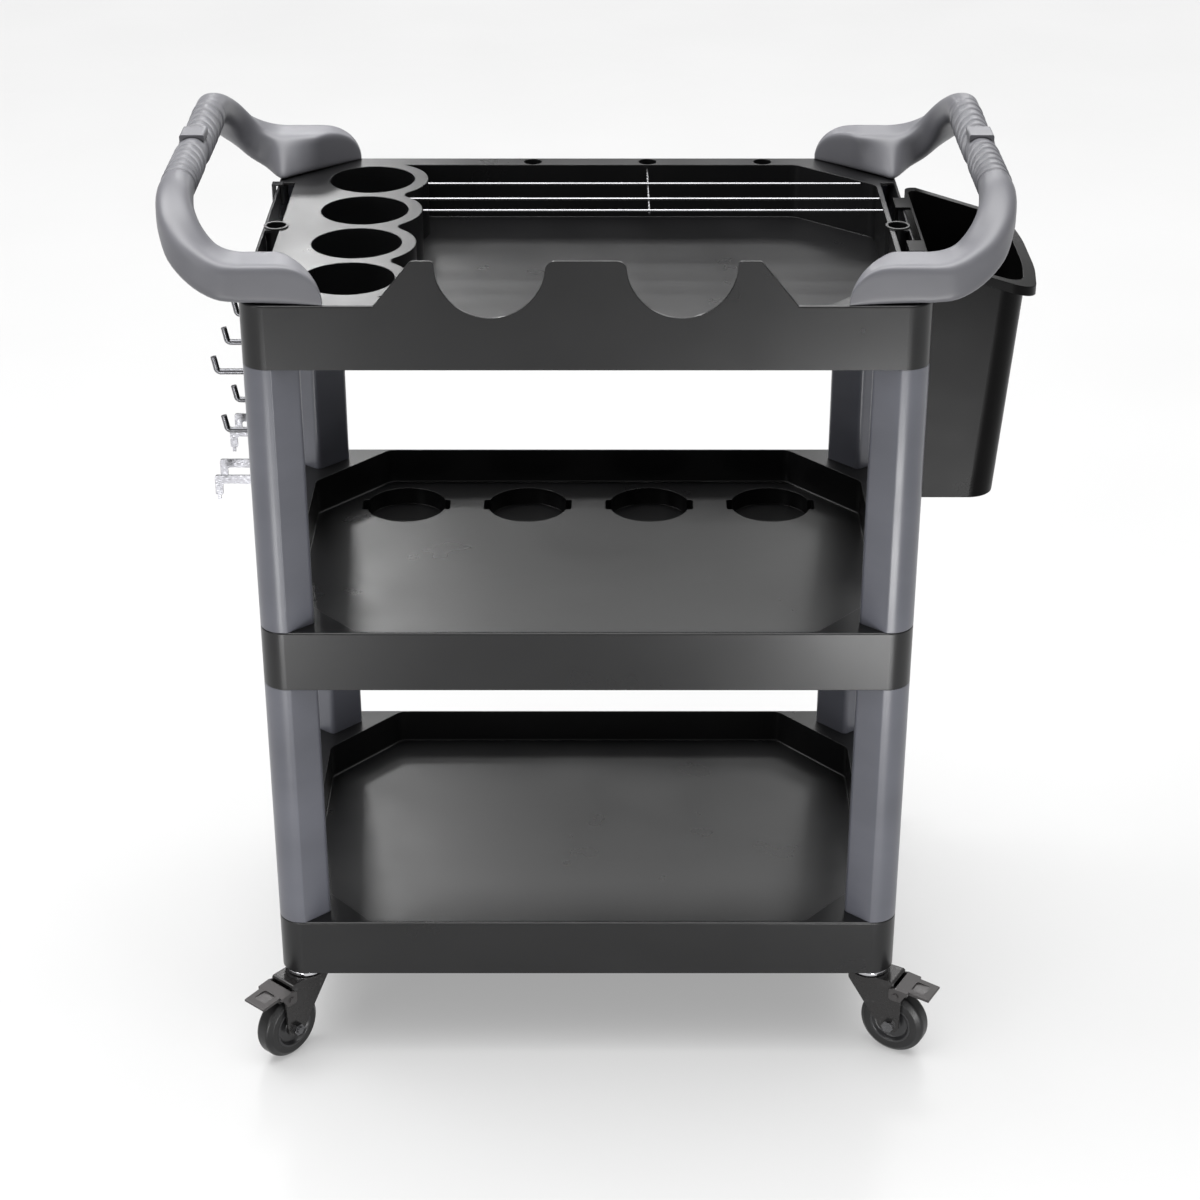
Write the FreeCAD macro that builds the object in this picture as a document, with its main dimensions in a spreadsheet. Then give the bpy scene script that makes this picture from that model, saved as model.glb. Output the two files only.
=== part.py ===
"""Spa trolley cart: three moulded trays on tubular legs, with casters, handles, a bin and hooks.

The frame is in millimetres. The origin is on the floor under the middle of the trays, +X runs to the
side that carries the waste bin, -Y is the front and +Z is up.
"""
import FreeCAD, Part
import math
import os
import Sketcher

Vector = FreeCAD.Vector
UP = Vector(0, 0, 1)

DRIVING_SIZES = {
    # trays
    "tray_width": 670,
    "tray_depth": 463,
    "tray_corner": 26,
    "tray_height": 66,
    "floor_drop": 41,
    "top_floor_drop": 60,
    "wall": 3,
    "top_rim": 880,
    "middle_rim": 526,
    "bottom_rim": 172,
    "basin_half_width": 312,
    "basin_corner_front": 234,
    "basin_corner_side": 141,
    "basin_corner": 14,
    # cups and accessories of the top tray
    "cup_radius": 46,
    "cup_pitch": 103.5,
    "cup_depth": 58,
    "cup_line": 234,
    "barrel_radius": 60.4,
    "back_rim": 24.5,
    "socket_radius": 10,
    "socket_depth": 30,
    "socket_line": 218,
    "socket_middle": 66.2,
    "socket_pitch": 127.2,
    "ring_line": 321.5,
    "ring_radius": 10.25,
    "ring_outside": 12.75,
    "slot_inner": 317,
    "slot_outer": 332,
    "slot_end": 144,
    "screen_height": 45,
    "screen_half_width": 166.6,
    "screen_foot": 203,
    "notch_radius": 53,
    "notch_line": 91.7,
    "notch_centre": 40.5,
    "recess_pitch": 140.8,
    "recess_line": 165,
    "recess_depth": 20,
    "lug_width": 101.5,
    "lug_depth": 26,
    # legs
    "leg_wall": 2.5,
    "leg_end_plate": 4,
    "spigot_height": 50,
    "spigot_gap": 3.4,
    # handles
    "grip_line": 400,
    "grip_height": 962,
    "grip_radius": 17.5,
    "grip_half_length": 121,
    "fairing_height": 40,
    # rods
    "rod_radius": 1.2,
    "rod_drop": 2.5,
    "rod_gap": 0.8,
    "cross_rod_line": 65.4,
    # waste bin
    "bin_top_inner": 340,
    "bin_top_outer": 451,
    "bin_bottom_inner": 341,
    "bin_bottom_outer": 431,
    "bin_top_half": 110,
    "bin_bottom_half": 105,
    "bin_floor": 620,
    "bin_wall": 2.5,
    "bin_corner": 28,
    "bin_bulge": 9,
    "bin_belly": 300,
    # hook panel
    "panel_half": 126,
    "board_drop": 20,
    "panel_outside": 341,
    "panel_inside": 337.5,
    "panel_bottom": 612,
    "peg_radius": 3.1,
    "peg_reach": 381,
    # casters
    "caster_line_x": 311,
    "caster_line_y": 203,
    "wheel_radius": 37.5,
    "wheel_width": 24,
    "hub_radius": 24,
    "trail": 33,
    "axle_radius": 4,
    "axle_bore": 4.05,
    "stem_radius": 5,
    "stem_bore": 5.05,
    "fork_top": 95,
    "fork_sheet": 2.5,
    "fork_inside": 27,
    "ring_cup_radius": 21,
    "boss_radius": 13,
    "pivot_reach": 40,
    "pivot_height": 80,
    "pivot_radius": 2,
    "pivot_bore": 2.05,
    "pedal_width": 32,
    "pedal_start": 36,
    "pedal_end": 78,
}

doc = FreeCAD.newDocument("SpaTrolley")
sheet = doc.addObject("Spreadsheet::Sheet", "Sizes")


class Size:
    """A length that carries its value together with the sheet expression that it comes from."""

    def __init__(self, text, value):
        self.text = text
        self.value = value

    def __add__(self, other):
        return joined(self, "+", other)

    def __radd__(self, other):
        return joined(other, "+", self)

    def __sub__(self, other):
        return joined(self, "-", other)

    def __rsub__(self, other):
        return joined(other, "-", self)

    def __mul__(self, other):
        return joined(self, "*", other)

    def __rmul__(self, other):
        return joined(other, "*", self)

    def __truediv__(self, other):
        return joined(self, "/", other)

    def __neg__(self):
        return joined(0, "-", self)


def as_size(number):
    """Any plain number as a Size."""
    if isinstance(number, Size):
        return number
    return Size(f"({float(number)!r})", float(number))


def joined(left, sign, right):
    """The Size of an arithmetic step between two lengths."""
    left, right = as_size(left), as_size(right)
    results = {
        "+": left.value + right.value,
        "-": left.value - right.value,
        "*": left.value * right.value,
    }
    value = left.value / right.value if sign == "/" else results[sign]
    return Size(f"({left.text} {sign} {right.text})", value)


for row, (alias, number) in enumerate(DRIVING_SIZES.items(), start=1):
    sheet.set(f"A{row}", alias.replace("_", " "))
    sheet.set(f"B{row}", str(number))
    sheet.setAlias(f"B{row}", alias)
doc.recompute()
dim = {alias: Size(f"Sizes.{alias}", float(sheet.get(alias))) for alias in DRIVING_SIZES}

HANDLE_SCREW = (306, 198)
LEG_SCREW = (41.5, 27)
LEG_CORNERS = ((0, 41.5, 3), (0, 0, 0), (30, 0, 2), (58, 24.5, 6), (23.4, 59.5, 6))
FAIRING_TIP = (252, 227)
FAIRING_CREST = (294, 184)
FAIRING_APEX = (332, 148)
FAIRING_ROUND = 22
SCREW_RADIUS = 2
SCREW_PILOT = 2.05
SCREW_CLEARANCE = 2.3
BOARD_STRAP = (131, 142)
BIN_STRAP = (52, 84)
BOARD_TONGUE = (-331.7, -329.2)
BIN_TONGUE = (324.5, 327.5)
TONGUE_DEPTH = 20
STRAP_GAP = 0.4
VALLEY_RADIUS = 12
RODS = (
    ("bottle_rod_front", 58, 0),
    ("bottle_rod_middle", 96.5, 0),
    ("bottle_rod_back", 148, 15.7),
)
half_width = dim["tray_width"] / 2
half_depth = dim["tray_depth"] / 2
wall = dim["wall"]
sub_parts = []


# ---------------------------------------------------------------- document helpers
def bind(thing, path, length):
    """Drive one property by the sheet."""
    length = as_size(length)
    thing.setExpression(path, length.text)


def place(thing, x=0, y=0, z=0, turn=0):
    """Put a sub-part at its place, turned about the vertical."""
    values = [as_size(number).value for number in (x, y, z)]
    thing.Placement = FreeCAD.Placement(Vector(*values), FreeCAD.Rotation(UP, turn))
    for axis, number in zip("xyz", (x, y, z)):
        if isinstance(number, Size):
            bind(thing, f"Placement.Base.{axis}", number)


def new_body(label):
    """An empty PartDesign body that becomes one sub-part."""
    body = doc.addObject("PartDesign::Body", "Body_" + label)
    body.Label = label
    sub_parts.append(body)
    return body


def new_sketch(body, plane="XY", offset=0):
    """A sketch on one of the body's own origin planes, moved along the plane's normal."""
    role = plane + "_Plane"
    support = next(feature for feature in body.Origin.OriginFeatures if feature.Role == role)
    sketch = body.newObject("Sketcher::SketchObject", "Sketch")
    sketch.AttachmentSupport = [(support, "")]
    sketch.MapMode = "FlatFace"
    bind(sketch, "AttachmentOffset.Base.z", offset)
    return sketch


def fix_point(sketch, geometry, vertex, x, y):
    """Dimension one point of a sketch from the sketch's origin."""
    for kind, length in (("DistanceX", as_size(x)), ("DistanceY", as_size(y))):
        index = sketch.addConstraint(Sketcher.Constraint(kind, -1, 1, geometry, vertex, length.value))
        bind(sketch, f"Constraints[{index}]", length)


def corner_tangents(corners, index):
    """Where a rounded corner starts and ends, its centre, and whether it turns left."""
    x, y, radius = corners[index]
    here = Vector(x.value, y.value, 0)
    before = Vector(corners[index - 1][0].value, corners[index - 1][1].value, 0)
    after_corner = corners[(index + 1) % len(corners)]
    after = Vector(after_corner[0].value, after_corner[1].value, 0)
    back, ahead = (before - here).normalize(), (after - here).normalize()
    half_angle = back.getAngle(ahead) / 2
    reach = radius.value / math.tan(half_angle)
    centre = here + (back + ahead).normalize() * (radius.value / math.sin(half_angle))
    turns_left = (here - before).cross(after - here).z > 0
    return here + back * reach, here + ahead * reach, centre, turns_left


def outline(sketch, points):
    """A closed outline of straight sides; a point is (x, y), or (x, y, radius) where it is rounded."""
    corners = [(as_size(p[0]), as_size(p[1]), as_size(p[2] if len(p) > 2 else 0)) for p in points]
    starts, ends, arcs = [], [], {}
    for index, (x, y, radius) in enumerate(corners):
        if radius.value:
            start, end, centre, turns_left = corner_tangents(corners, index)
            arcs[index] = (centre, turns_left)
        else:
            start = end = Vector(x.value, y.value, 0)
        starts.append(start)
        ends.append(end)
    count = len(corners)
    lines = [
        sketch.addGeometry(Part.LineSegment(ends[i], starts[(i + 1) % count])) for i in range(count)
    ]
    for index, (x, y, radius) in enumerate(corners):
        line_in, line_out = lines[index - 1], lines[index]
        if index not in arcs:
            sketch.addConstraint(Sketcher.Constraint("Coincident", line_in, 2, line_out, 1))
            fix_point(sketch, line_out, 1, x, y)
            continue
        centre, turns_left = arcs[index]
        first, last = (starts[index], ends[index]) if turns_left else (ends[index], starts[index])
        angles = [math.atan2(point.y - centre.y, point.x - centre.x) for point in (first, last)]
        arc = sketch.addGeometry(Part.ArcOfCircle(Part.Circle(centre, UP, radius.value), *angles))
        entry, leave = (1, 2) if turns_left else (2, 1)
        corner = sketch.addGeometry(Part.Point(Vector(x.value, y.value, 0)), True)
        fix_point(sketch, corner, 1, x, y)
        turn = sketch.addConstraint(Sketcher.Constraint("Radius", arc, radius.value))
        bind(sketch, f"Constraints[{turn}]", radius)
        sketch.addConstraint([
            Sketcher.Constraint("Tangent", line_in, 2, arc, entry),
            Sketcher.Constraint("Tangent", arc, leave, line_out, 1),
            Sketcher.Constraint("PointOnObject", corner, 1, line_in),
            Sketcher.Constraint("PointOnObject", corner, 1, line_out),
        ])


def rectangle(sketch, low_x, low_y, high_x, high_y, radius=0):
    """An upright rectangle, with its corners rounded where a radius is given."""
    outline(sketch, [
        (low_x, low_y, radius), (high_x, low_y, radius), (high_x, high_y, radius), (low_x, high_y, radius)
    ])


def circle(sketch, x, y, radius):
    """A full circle."""
    x, y, radius = as_size(x), as_size(y), as_size(radius)
    ring = sketch.addGeometry(Part.Circle(Vector(x.value, y.value, 0), UP, radius.value))
    fix_point(sketch, ring, 3, x, y)
    index = sketch.addConstraint(Sketcher.Constraint("Radius", ring, radius.value))
    bind(sketch, f"Constraints[{index}]", radius)


def pad(body, sketch, length, backwards=False):
    """Add material along the sketch's normal."""
    feature = body.newObject("PartDesign::Pad", "Pad")
    feature.Profile = sketch
    feature.Reversed = backwards
    bind(feature, "Length", length)
    return feature


def pocket(body, sketch, depth, forwards=False):
    """Remove material against the sketch's normal, or along it when forwards is set."""
    feature = body.newObject("PartDesign::Pocket", "Pocket")
    feature.Profile = sketch
    feature.Reversed = forwards
    bind(feature, "Length", depth)
    return feature


def revolve(body, sketch, line="V_Axis"):
    """Turn a sketch once round one of its own axes."""
    feature = body.newObject("PartDesign::Revolution", "Revolution")
    feature.Profile = sketch
    feature.ReferenceAxis = (sketch, [line])
    feature.Angle = 360
    return feature


def loft(body, sketches, cutting=False):
    """A straight-sided loft through the sketches, which adds or cuts material."""
    kind = "PartDesign::SubtractiveLoft" if cutting else "PartDesign::AdditiveLoft"
    feature = body.newObject(kind, "Loft")
    feature.Profile = sketches[0]
    feature.Sections = sketches[1:]
    feature.Ruled = True
    return feature


def fillet(body, radius, chosen):
    """Round every edge of the body for which chosen(edge) is true."""
    doc.recompute()
    base = body.Tip
    names = [f"Edge{i}" for i, edge in enumerate(base.Shape.Edges, start=1) if chosen(edge)]
    feature = body.newObject("PartDesign::Fillet", "Fillet")
    feature.Base = (base, names)
    bind(feature, "Radius", radius)
    return feature


def level(edge, height):
    """Whether an edge lies flat at a height."""
    box = edge.BoundBox
    return abs(box.ZMin - height) < 0.01 and abs(box.ZMax - height) < 0.01


# ---------------------------------------------------------------- trays
basin_x = dim["basin_half_width"]
corner_x = dim["basin_corner_front"]
corner_y = dim["basin_corner_side"]
inner_x = half_width - wall
inner_y = half_depth - wall
slant_wall = wall * 4 / 3


def tray_block(body):
    """The tray's outer block, from its rim at Z = 0 down to the foot of its skirt."""
    sketch = new_sketch(body, offset=-dim["tray_height"])
    rectangle(sketch, -half_width, -half_depth, half_width, half_depth, dim["tray_corner"])
    pad(body, sketch, dim["tray_height"])
    fillet(body, 2, lambda edge: level(edge, 0))


def hollow_underside(body, floor_drop):
    """The space under the tray's floor, inside the skirt."""
    sketch = new_sketch(body, offset=-dim["tray_height"])
    rectangle(sketch, -inner_x, -inner_y, inner_x, inner_y, dim["tray_corner"] - wall)
    pocket(body, sketch, dim["tray_height"] - floor_drop - wall, forwards=True)


def hollow_rim(body, points):
    """The space under a raised deck, which leaves the deck one wall thick."""
    sketch = new_sketch(body, offset=-dim["tray_height"])
    outline(sketch, points)
    pocket(body, sketch, dim["tray_height"] - wall, forwards=True)


def side_rim_points(side):
    """Outline of the double wall along one side, with the two corner decks on which the legs stand."""
    round_corner = dim["tray_corner"] - wall
    return [
        (side * (corner_x + slant_wall), -inner_y),
        (side * inner_x, -inner_y, round_corner),
        (side * inner_x, inner_y, round_corner),
        (side * (corner_x + slant_wall), inner_y),
        (side * (basin_x + wall), corner_y + 1, 6),
        (side * (basin_x + wall), -corner_y - 1, 6),
    ]


def soften_basin(body):
    """Round the foot of the basin's wall."""
    fillet(body, 2, lambda edge: level(edge, -dim["floor_drop"].value))


def shelf_basin(body):
    """The large basin with its cut-off corners."""
    sketch = new_sketch(body)
    turn = dim["basin_corner"]
    outline(sketch, [
        (-corner_x, -inner_y, turn), (corner_x, -inner_y, turn),
        (basin_x, -corner_y, turn), (basin_x, corner_y, turn),
        (corner_x, inner_y, turn), (-corner_x, inner_y, turn),
        (-basin_x, corner_y, turn), (-basin_x, -corner_y, turn),
    ])
    pocket(body, sketch, dim["floor_drop"])


def bottle_recesses(body):
    """Four shallow round wells with a square lug on each side, near the back of the shelf."""
    drop = dim["floor_drop"]
    lug_x, lug_y = dim["lug_width"] / 2, dim["lug_depth"] / 2
    for step in (-1.5, -0.5, 0.5, 1.5):
        centre_x = step * dim["recess_pitch"]
        centre_y = dim["recess_line"]
        for grow, top, deep, feature in (
            (wall, drop + 1, dim["recess_depth"] + wall - 1, pad),
            (0, drop, dim["recess_depth"], pocket),
        ):
            disc = new_sketch(body, offset=-top)
            circle(disc, centre_x, centre_y, dim["cup_radius"] + grow)
            lugs = new_sketch(body, offset=-top)
            rectangle(
                lugs,
                centre_x - lug_x - grow, centre_y - lug_y - grow,
                centre_x + lug_x + grow, centre_y + lug_y + grow, 3,
            )
            for sketch in (disc, lugs):
                if feature is pad:
                    pad(body, sketch, deep, backwards=True)
                else:
                    pocket(body, sketch, deep)


def caster_bosses(body):
    """A tube under each corner deck that takes a caster's stem."""
    for side in (-1, 1):
        for end in (-1, 1):
            x, y = side * dim["caster_line_x"], end * dim["caster_line_y"]
            tube = new_sketch(body, offset=-dim["tray_height"])
            circle(tube, x, y, dim["boss_radius"])
            pad(body, tube, dim["tray_height"] - 1)
            hole = new_sketch(body, offset=-dim["tray_height"])
            circle(hole, x, y, dim["stem_bore"])
            pocket(body, hole, dim["tray_height"] - 8, forwards=True)


def make_shelf(label, rim, recesses=False, bosses=False):
    """The middle or the bottom shelf."""
    body = new_body(label)
    tray_block(body)
    shelf_basin(body)
    soften_basin(body)
    hollow_underside(body, dim["floor_drop"])
    hollow_rim(body, side_rim_points(-1))
    hollow_rim(body, side_rim_points(1))
    if bosses:
        caster_bosses(body)
    deck_holes(body, leg_screw_places())
    if recesses:
        bottle_recesses(body)
    place(body, z=rim)


def cup_places():
    """Y of each cup, from the front to the back."""
    return [step * dim["cup_pitch"] for step in (-1.5, -0.5, 0.5, 1.5)]


def top_basin(body):
    """The top tray's basin, which starts on the line of the cups."""
    back = half_depth - dim["back_rim"]
    sketch = new_sketch(body)
    outline(sketch, [
        (-dim["cup_line"], -inner_y), (corner_x, -inner_y, dim["basin_corner"]),
        (basin_x, -corner_y, dim["basin_corner"]),
        (basin_x, corner_y - 5, 20), (corner_x - 4, back, 20), (-dim["cup_line"], back),
    ])
    pocket(body, sketch, dim["top_floor_drop"])


def cup_barrels(body):
    """The scalloped wall: one barrel round each cup, with the valleys between them filled."""
    for y in cup_places():
        sketch = new_sketch(body, offset=-dim["top_floor_drop"] - 1)
        circle(sketch, -dim["cup_line"], y, dim["barrel_radius"])
        pad(body, sketch, dim["top_floor_drop"] + 1)
    ends = new_sketch(body, offset=-dim["top_floor_drop"] - 1)
    rectangle(ends, -dim["cup_line"] - 1, -inner_y - 1, -dim["cup_line"] + 41, -inner_y + 22)
    pad(body, ends, dim["top_floor_drop"] + 1)
    valleys = [step * dim["cup_pitch"].value for step in (-1, 0, 1)]

    def in_valley(edge):
        middle = edge.valueAt((edge.FirstParameter + edge.LastParameter) / 2)
        box = edge.BoundBox
        near = any(abs(middle.y - y) < 0.5 for y in valleys)
        return near and box.ZLength > 30 and box.XLength < 0.1 and middle.x > -dim["cup_line"].value + 5

    fillet(body, VALLEY_RADIUS, in_valley)


def cup_wells(body):
    """The space under the deck round the cups, and the cups themselves."""
    radius = dim["cup_radius"]
    for y in cup_places():
        sketch = new_sketch(body, offset=-dim["tray_height"])
        circle(sketch, -dim["cup_line"], y, dim["barrel_radius"] - wall)
        pocket(body, sketch, dim["tray_height"] - wall, forwards=True)
    for y in cup_places():
        sketch = new_sketch(body, offset=-dim["cup_depth"] - wall)
        circle(sketch, -dim["cup_line"], y, radius + wall)
        pad(body, sketch, dim["cup_depth"] + wall - 1)
        well = new_sketch(body)
        circle(well, -dim["cup_line"], y, radius)
        pocket(body, well, dim["cup_depth"])


def left_deck_points():
    """Outline of the space under the deck left of the cups."""
    round_corner = dim["tray_corner"] - wall
    return [
        (-inner_x, -inner_y, round_corner), (-dim["cup_line"] - wall, -inner_y),
        (-dim["cup_line"] - wall, inner_y), (-inner_x, inner_y, round_corner),
    ]


def right_and_back_rim_points():
    """Outline of the space under the right rim and the back rim."""
    back = half_depth - dim["back_rim"] + wall
    return [
        (corner_x + slant_wall, -inner_y), (inner_x, -inner_y, dim["tray_corner"] - wall),
        (inner_x, inner_y, dim["tray_corner"] - wall), (-dim["cup_line"] + 70, inner_y),
        (-dim["cup_line"] + 70, back), (corner_x, back, 6),
        (basin_x + wall, corner_y - 4, 6), (basin_x + wall, -corner_y - 1, 6),
    ]


def tool_sockets(body):
    """Three round sockets in the back rim."""
    for step in (-1, 0, 1):
        x = dim["socket_middle"] + step * dim["socket_pitch"]
        block = new_sketch(body, offset=-dim["socket_depth"])
        rectangle(block, x - 14, half_depth - dim["back_rim"] + 1, x + 14, inner_y + 1)
        pad(body, block, dim["socket_depth"] - 1)
        hole = new_sketch(body)
        circle(hole, x, dim["socket_line"], dim["socket_radius"])
        pocket(body, hole, dim["socket_depth"])


def side_slots(body):
    """A long slot in each side rim, with a collar across its middle."""
    for side in (-1, 1):
        for end in (-1, 1):
            slot = new_sketch(body)
            outline(slot, [
                (side * dim["slot_inner"], end * 12, 2), (side * dim["slot_outer"], end * 12, 2),
                (side * dim["slot_outer"], end * dim["slot_end"], 2),
                (side * dim["slot_inner"], end * dim["slot_end"], 2),
            ])
            pocket(body, slot, wall * 2)
        collar = new_sketch(body, offset=-dim["socket_depth"])
        circle(collar, side * dim["ring_line"], 0, dim["ring_outside"])
        pad(body, collar, dim["socket_depth"] + 1.5)
        hole = new_sketch(body, offset=5)
        circle(hole, side * dim["ring_line"], 0, dim["ring_radius"])
        pocket(body, hole, dim["socket_depth"] + 5)


def front_screen(body):
    """The raised front wall with its two round notches."""
    top = dim["screen_height"]
    sketch = new_sketch(body, "XZ", inner_y)
    outline(sketch, [
        (-dim["screen_foot"], 0), (-dim["screen_foot"], -4),
        (dim["screen_foot"], -4), (dim["screen_foot"], 0),
        (dim["screen_half_width"], top, 5), (-dim["screen_half_width"], top, 5),
    ])
    pad(body, sketch, wall)
    notches = new_sketch(body, "XZ", half_depth)
    for side in (-1, 1):
        circle(notches, side * dim["notch_line"], dim["notch_centre"], dim["notch_radius"])
    pocket(body, notches, wall + 1)
    half_chord = math.sqrt(dim["notch_radius"].value ** 2 - (top.value - dim["notch_centre"].value) ** 2)
    notch_x = dim["notch_line"].value
    for place_x, radius in ((notch_x - half_chord, 10), (notch_x + half_chord, 4)):
        fillet(body, radius, lambda edge, x=place_x: is_screen_corner(edge, x, top.value))


def is_screen_corner(edge, x, z):
    """Whether an edge runs front to back through the given place on the screen."""
    box = edge.BoundBox
    return box.YLength > 1 and box.ZLength < 0.1 and abs(abs(box.XMin) - x) < 0.2 and abs(box.ZMin - z) < 0.2


def make_top_tray():
    """The top tray."""
    body = new_body("top_tray")
    tray_block(body)
    top_basin(body)
    cup_barrels(body)
    hollow_underside(body, dim["top_floor_drop"])
    hollow_rim(body, left_deck_points())
    hollow_rim(body, right_and_back_rim_points())
    cup_wells(body)
    tool_sockets(body)
    side_slots(body)
    deck_holes(body, handle_screw_places())
    front_screen(body)
    place(body, z=dim["top_rim"])


# ---------------------------------------------------------------- legs
def corner_shift(index):
    """How far a corner of the leg moves, along X and Y, when both its sides move inwards by 1."""
    here = Vector(*LEG_CORNERS[index][:2], 0)
    before = Vector(*LEG_CORNERS[index - 1][:2], 0)
    after = Vector(*LEG_CORNERS[(index + 1) % len(LEG_CORNERS)][:2], 0)
    side_in, side_out = (here - before).normalize(), (after - here).normalize()
    normal_in, normal_out = Vector(side_in.y, -side_in.x, 0), Vector(side_out.y, -side_out.x, 0)
    shift = (normal_in + normal_out) / (1 + normal_in.dot(normal_out))
    return -shift


def leg_points(side, end, inset):
    """Cross-section of a leg at one corner of the trays, drawn inwards by the inset."""
    points = []
    for index, (from_side, from_end, radius) in enumerate(LEG_CORNERS):
        shift = corner_shift(index)
        x = half_width - from_side - inset * shift.x
        y = half_depth - from_end - inset * shift.y
        is_tray_corner = from_side == from_end == 0
        points.append((side * x, end * y, dim["tray_corner"] - inset if is_tray_corner else radius))
    return points


def make_leg(label, side, end, foot, head):
    """A tube between two trays, with a spigot that plugs into the tray above."""
    body = new_body(label)
    gap = 0.2
    tube = new_sketch(body, offset=gap)
    outline(tube, leg_points(side, end, 0))
    pad(body, tube, head - foot - gap * 2)
    spigot = new_sketch(body, offset=head - foot - gap - 1)
    outline(spigot, leg_points(side, end, dim["spigot_gap"]))
    pad(body, spigot, dim["spigot_height"])
    bore = new_sketch(body, offset=dim["leg_end_plate"])
    outline(bore, leg_points(side, end, dim["spigot_gap"] + dim["leg_wall"]))
    pocket(body, bore, head - foot + dim["spigot_height"] + 10, forwards=True)
    hole = new_sketch(body)
    screw_x, screw_y = side * (half_width - LEG_SCREW[0]), end * (half_depth - LEG_SCREW[1])
    circle(hole, screw_x, screw_y, SCREW_PILOT)
    pocket(body, hole, dim["leg_end_plate"] + 1, forwards=True)
    place(body, z=foot)


def make_screws(label, places, under, over):
    """A group of identical pan-head screws that point up, at the given places."""
    radius = SCREW_RADIUS
    group = []
    for x, y in places:
        head = Part.makeCylinder(radius * 2, 3, Vector(x, y, under - 3))
        shank = Part.makeCylinder(radius, over - under, Vector(x, y, under))
        cross = Part.makeBox(radius * 2.4, 0.9, 1.5, Vector(x - radius * 1.2, y - 0.45, under - 3.1))
        group.append(head.fuse(shank).cut(cross))
    feature = doc.addObject("Part::Feature", "Group_" + label)
    feature.Label = label
    feature.Shape = Part.makeCompound(group)
    sub_parts.append(feature)
    return feature


def leg_screw_places():
    """Where the screws come up through the corner decks into the feet of the legs."""
    x, y = half_width.value - LEG_SCREW[0], half_depth.value - LEG_SCREW[1]
    return [(side * x, end * y) for side in (-1, 1) for end in (-1, 1)]


def handle_screw_places():
    """Where the screws come up through the top tray's corners into the handles."""
    return [(side * HANDLE_SCREW[0], end * HANDLE_SCREW[1]) for side in (-1, 1) for end in (-1, 1)]


def deck_holes(body, places):
    """Clearance holes through a corner deck for the screws."""
    for x, y in places:
        hole = new_sketch(body, offset=2)
        circle(hole, x, y, SCREW_CLEARANCE)
        pocket(body, hole, wall + 3)


# ---------------------------------------------------------------- handles
def closed_wire(points):
    """A straight-sided closed wire through the points."""
    return Part.makePolygon(points + points[:1])


def fairing_and_arm(side, end):
    """The moulded foot on a tray corner and the arm that rises from it to the grip."""
    rim = dim["top_rim"].value + 0.2
    top = rim + dim["fairing_height"].value
    edge = half_depth.value
    foot_x = half_width.value
    tip_x, tip_y = FAIRING_TIP
    crest_x, crest_y = FAIRING_CREST
    apex_x, apex_y = FAIRING_APEX
    foot = closed_wire([
        Vector(crest_x, crest_y, top), Vector(foot_x, crest_y, top),
        Vector(foot_x, edge, top), Vector(crest_x, edge, top),
    ])
    base = closed_wire([
        Vector(tip_x, tip_y, rim), Vector(apex_x, apex_y, rim), Vector(foot_x, apex_y, rim),
        Vector(foot_x, edge, rim), Vector(tip_x, edge, rim),
    ])
    hull_faces = fairing_faces(base, foot)
    fairing = Part.makeSolid(Part.makeShell(hull_faces))
    turn = FAIRING_ROUND
    corner = Part.makeBox(turn * 2, turn * 2, 80, Vector(foot_x - turn, edge - turn, rim - 10))
    corner = corner.cut(Part.makeCylinder(turn, 90, Vector(foot_x - turn, edge - turn, rim - 15)))
    fairing = fairing.cut(corner)
    arm = swept_arm(rim, foot_x)
    shape = fairing.fuse(arm)
    if side < 0:
        shape = shape.mirror(Vector(0, 0, 0), Vector(1, 0, 0))
    if end < 0:
        shape = shape.mirror(Vector(0, 0, 0), Vector(0, 1, 0))
    return shape


def fairing_faces(base, foot):
    """The flat faces of the fairing, from its footprint up to its small level top."""
    tip_in, apex, low_side, low_corner, tip_out = [vertex.Point for vertex in base.OrderedVertexes]
    top_in, top_side, top_corner, top_out = [vertex.Point for vertex in foot.OrderedVertexes]
    loops = [
        [tip_in, apex, low_side, low_corner, tip_out],
        [top_in, top_side, top_corner, top_out],
        [low_side, low_corner, top_corner, top_side],
        [low_corner, tip_out, top_out, top_corner],
        [apex, low_side, top_side],
        [apex, top_side, top_in],
        [tip_in, apex, top_in],
        [tip_out, tip_in, top_in],
        [tip_out, top_in, top_out],
    ]
    return [Part.Face(closed_wire(loop)) for loop in loops]


def swept_arm(rim, foot_x):
    """The elbow between the fairing and the grip, lofted through oval sections."""
    line, height, radius = (dim[name].value for name in ("grip_line", "grip_height", "grip_radius"))
    grip_end = dim["grip_half_length"].value
    stations = [
        (Vector(foot_x - 6, 206, rim + 20), Vector(1, 0, 0.1), 24, 19),
        (Vector(foot_x + 20, 205, rim + 25), Vector(1, -0.15, 0.4), 22, 18.5),
        (Vector(foot_x + 38, 199, rim + 36), Vector(0.85, -0.5, 0.7), 20, 18),
        (Vector(foot_x + 52, 184, rim + 52), Vector(0.5, -0.85, 0.8), 19, 18),
        (Vector(foot_x + 61, 164, rim + 69), Vector(0.15, -0.9, 0.7), 18, 17.8),
        (Vector(line - 0.5, 142, height - 3), Vector(0.03, -1, 0.25), 17.6, 17.5),
        (Vector(line, grip_end, height), Vector(0, -1, 0), radius, radius),
    ]
    wires = [oval(centre, along.normalize(), wide, tall) for centre, along, wide, tall in stations]
    return Part.makeLoft(wires, True, True)


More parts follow.
